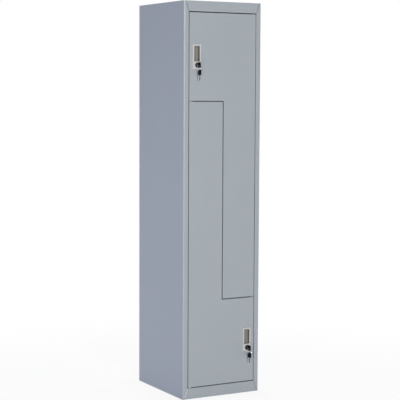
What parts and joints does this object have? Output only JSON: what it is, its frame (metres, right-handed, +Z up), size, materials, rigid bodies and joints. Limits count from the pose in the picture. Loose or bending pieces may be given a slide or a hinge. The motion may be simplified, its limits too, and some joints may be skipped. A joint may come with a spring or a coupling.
{
  "type": "storage locker",
  "caption": "Tall steel storage locker with a pair of interlocking L-shaped doors, recessed handles with key locks, and a Z partition with coat rods inside.",
  "frame": {"origin": "centre of the overall box, keys included, on the floor; the front plane of the doors is at y -0.205 and the back at y 0.245", "axes": "+Z up, +Y from the doors to the back, +X to the right seen from the front"},
  "size_m": [0.4, 0.49, 1.8],
  "materials": {
    "paint": "light grey powder coat, satin with a fine texture",
    "inside_paint": "light grey powder coat, thinner inside",
    "handle_plastic": "moulded pale warm-grey ABS",
    "black_plastic": "black moulded key bow",
    "black_metal": "black enamelled die casting",
    "zinc": "bright zinc plate",
    "key_steel": "nickel-plated key blank",
    "chrome": "polished",
    "nylon": "natural nylon",
    "rubber": "dark grey rubber"
  },
  "bodies": {
    "carcass": {"left_side_panel": "paint", "right_side_panel": "paint", "left_base_angle": "inside_paint", "right_base_angle": "inside_paint", "top_panel": "paint", "bottom_panel": "paint", "back_panel": "paint", "upper_shelf": "inside_paint", "lower_shelf": "inside_paint", "divider": "inside_paint", "right_hinge_tab": "zinc", "left_hinge_tab": "zinc", "upper_door_washer": "nylon", "lower_door_bush": "nylon", "upper_door_bumper_1": "rubber", "upper_door_bumper_2": "rubber", "lower_door_bumper_1": "rubber", "lower_door_bumper_2": "rubber", "upper_coat_rod": "chrome", "upper_rod_socket_left": "nylon", "upper_rod_socket_right": "nylon", "lower_coat_rod": "chrome", "lower_rod_socket_left": "nylon", "lower_rod_socket_right": "nylon"},
    "upper_door": {"upper_door_panel": "paint", "upper_door_stiffener": "inside_paint", "upper_door_rail_pin": "zinc", "upper_door_tab_pin": "zinc", "upper_handle": "handle_plastic", "upper_lock_barrel": "black_metal", "upper_lock_nut": "zinc"},
    "upper_lock": {"upper_lock_plug": "zinc", "upper_lock_cam": "zinc", "upper_cam_screw": "zinc", "upper_key_blade": "key_steel", "upper_key_bow": "black_plastic"},
    "upper_spare_key": {"upper_key_ring": "chrome", "upper_spare_blade": "key_steel", "upper_spare_bow": "black_plastic"},
    "lower_door": {"lower_door_panel": "paint", "lower_door_stiffener": "inside_paint", "lower_door_rail_pin": "zinc", "lower_door_tab_pin": "zinc", "lower_handle": "handle_plastic", "lower_lock_barrel": "black_metal", "lower_lock_nut": "zinc"},
    "lower_lock": {"lower_lock_plug": "zinc", "lower_lock_cam": "zinc", "lower_cam_screw": "zinc", "lower_key_blade": "key_steel", "lower_key_bow": "black_plastic"},
    "lower_spare_key": {"lower_key_ring": "chrome", "lower_spare_blade": "key_steel", "lower_spare_bow": "black_plastic"}
  },
  "joints": [
    {"name": "upper_door_hinge", "type": "hinge", "parent": "carcass", "child": "upper_door", "pos_m": [0.161, -0.198, 1.1], "axis": [0, 0, 1], "range_deg": [0, 110]},
    {"name": "lower_door_hinge", "type": "hinge", "parent": "carcass", "child": "lower_door", "pos_m": [-0.161, -0.198, 0.7], "axis": [0, 0, -1], "range_deg": [0, 110]},
    {"name": "upper_lock_turn", "type": "hinge", "parent": "upper_door", "child": "upper_lock", "pos_m": [-0.135, -0.205, 1.51485], "axis": [0, 1, 0], "range_deg": [0, 90]},
    {"name": "lower_lock_turn", "type": "hinge", "parent": "lower_door", "child": "lower_lock", "pos_m": [0.135, -0.205, 0.21265], "axis": [0, -1, 0], "range_deg": [0, 90]},
    {"name": "upper_spare_key_swing", "type": "hinge", "parent": "upper_lock", "child": "upper_spare_key", "pos_m": [-0.135, -0.233, 1.50025], "axis": [0, -1, 0], "range_deg": [-90, 90]},
    {"name": "lower_spare_key_swing", "type": "hinge", "parent": "lower_lock", "child": "lower_spare_key", "pos_m": [0.135, -0.233, 0.19805], "axis": [0, 1, 0], "range_deg": [-90, 90]}
  ]
}
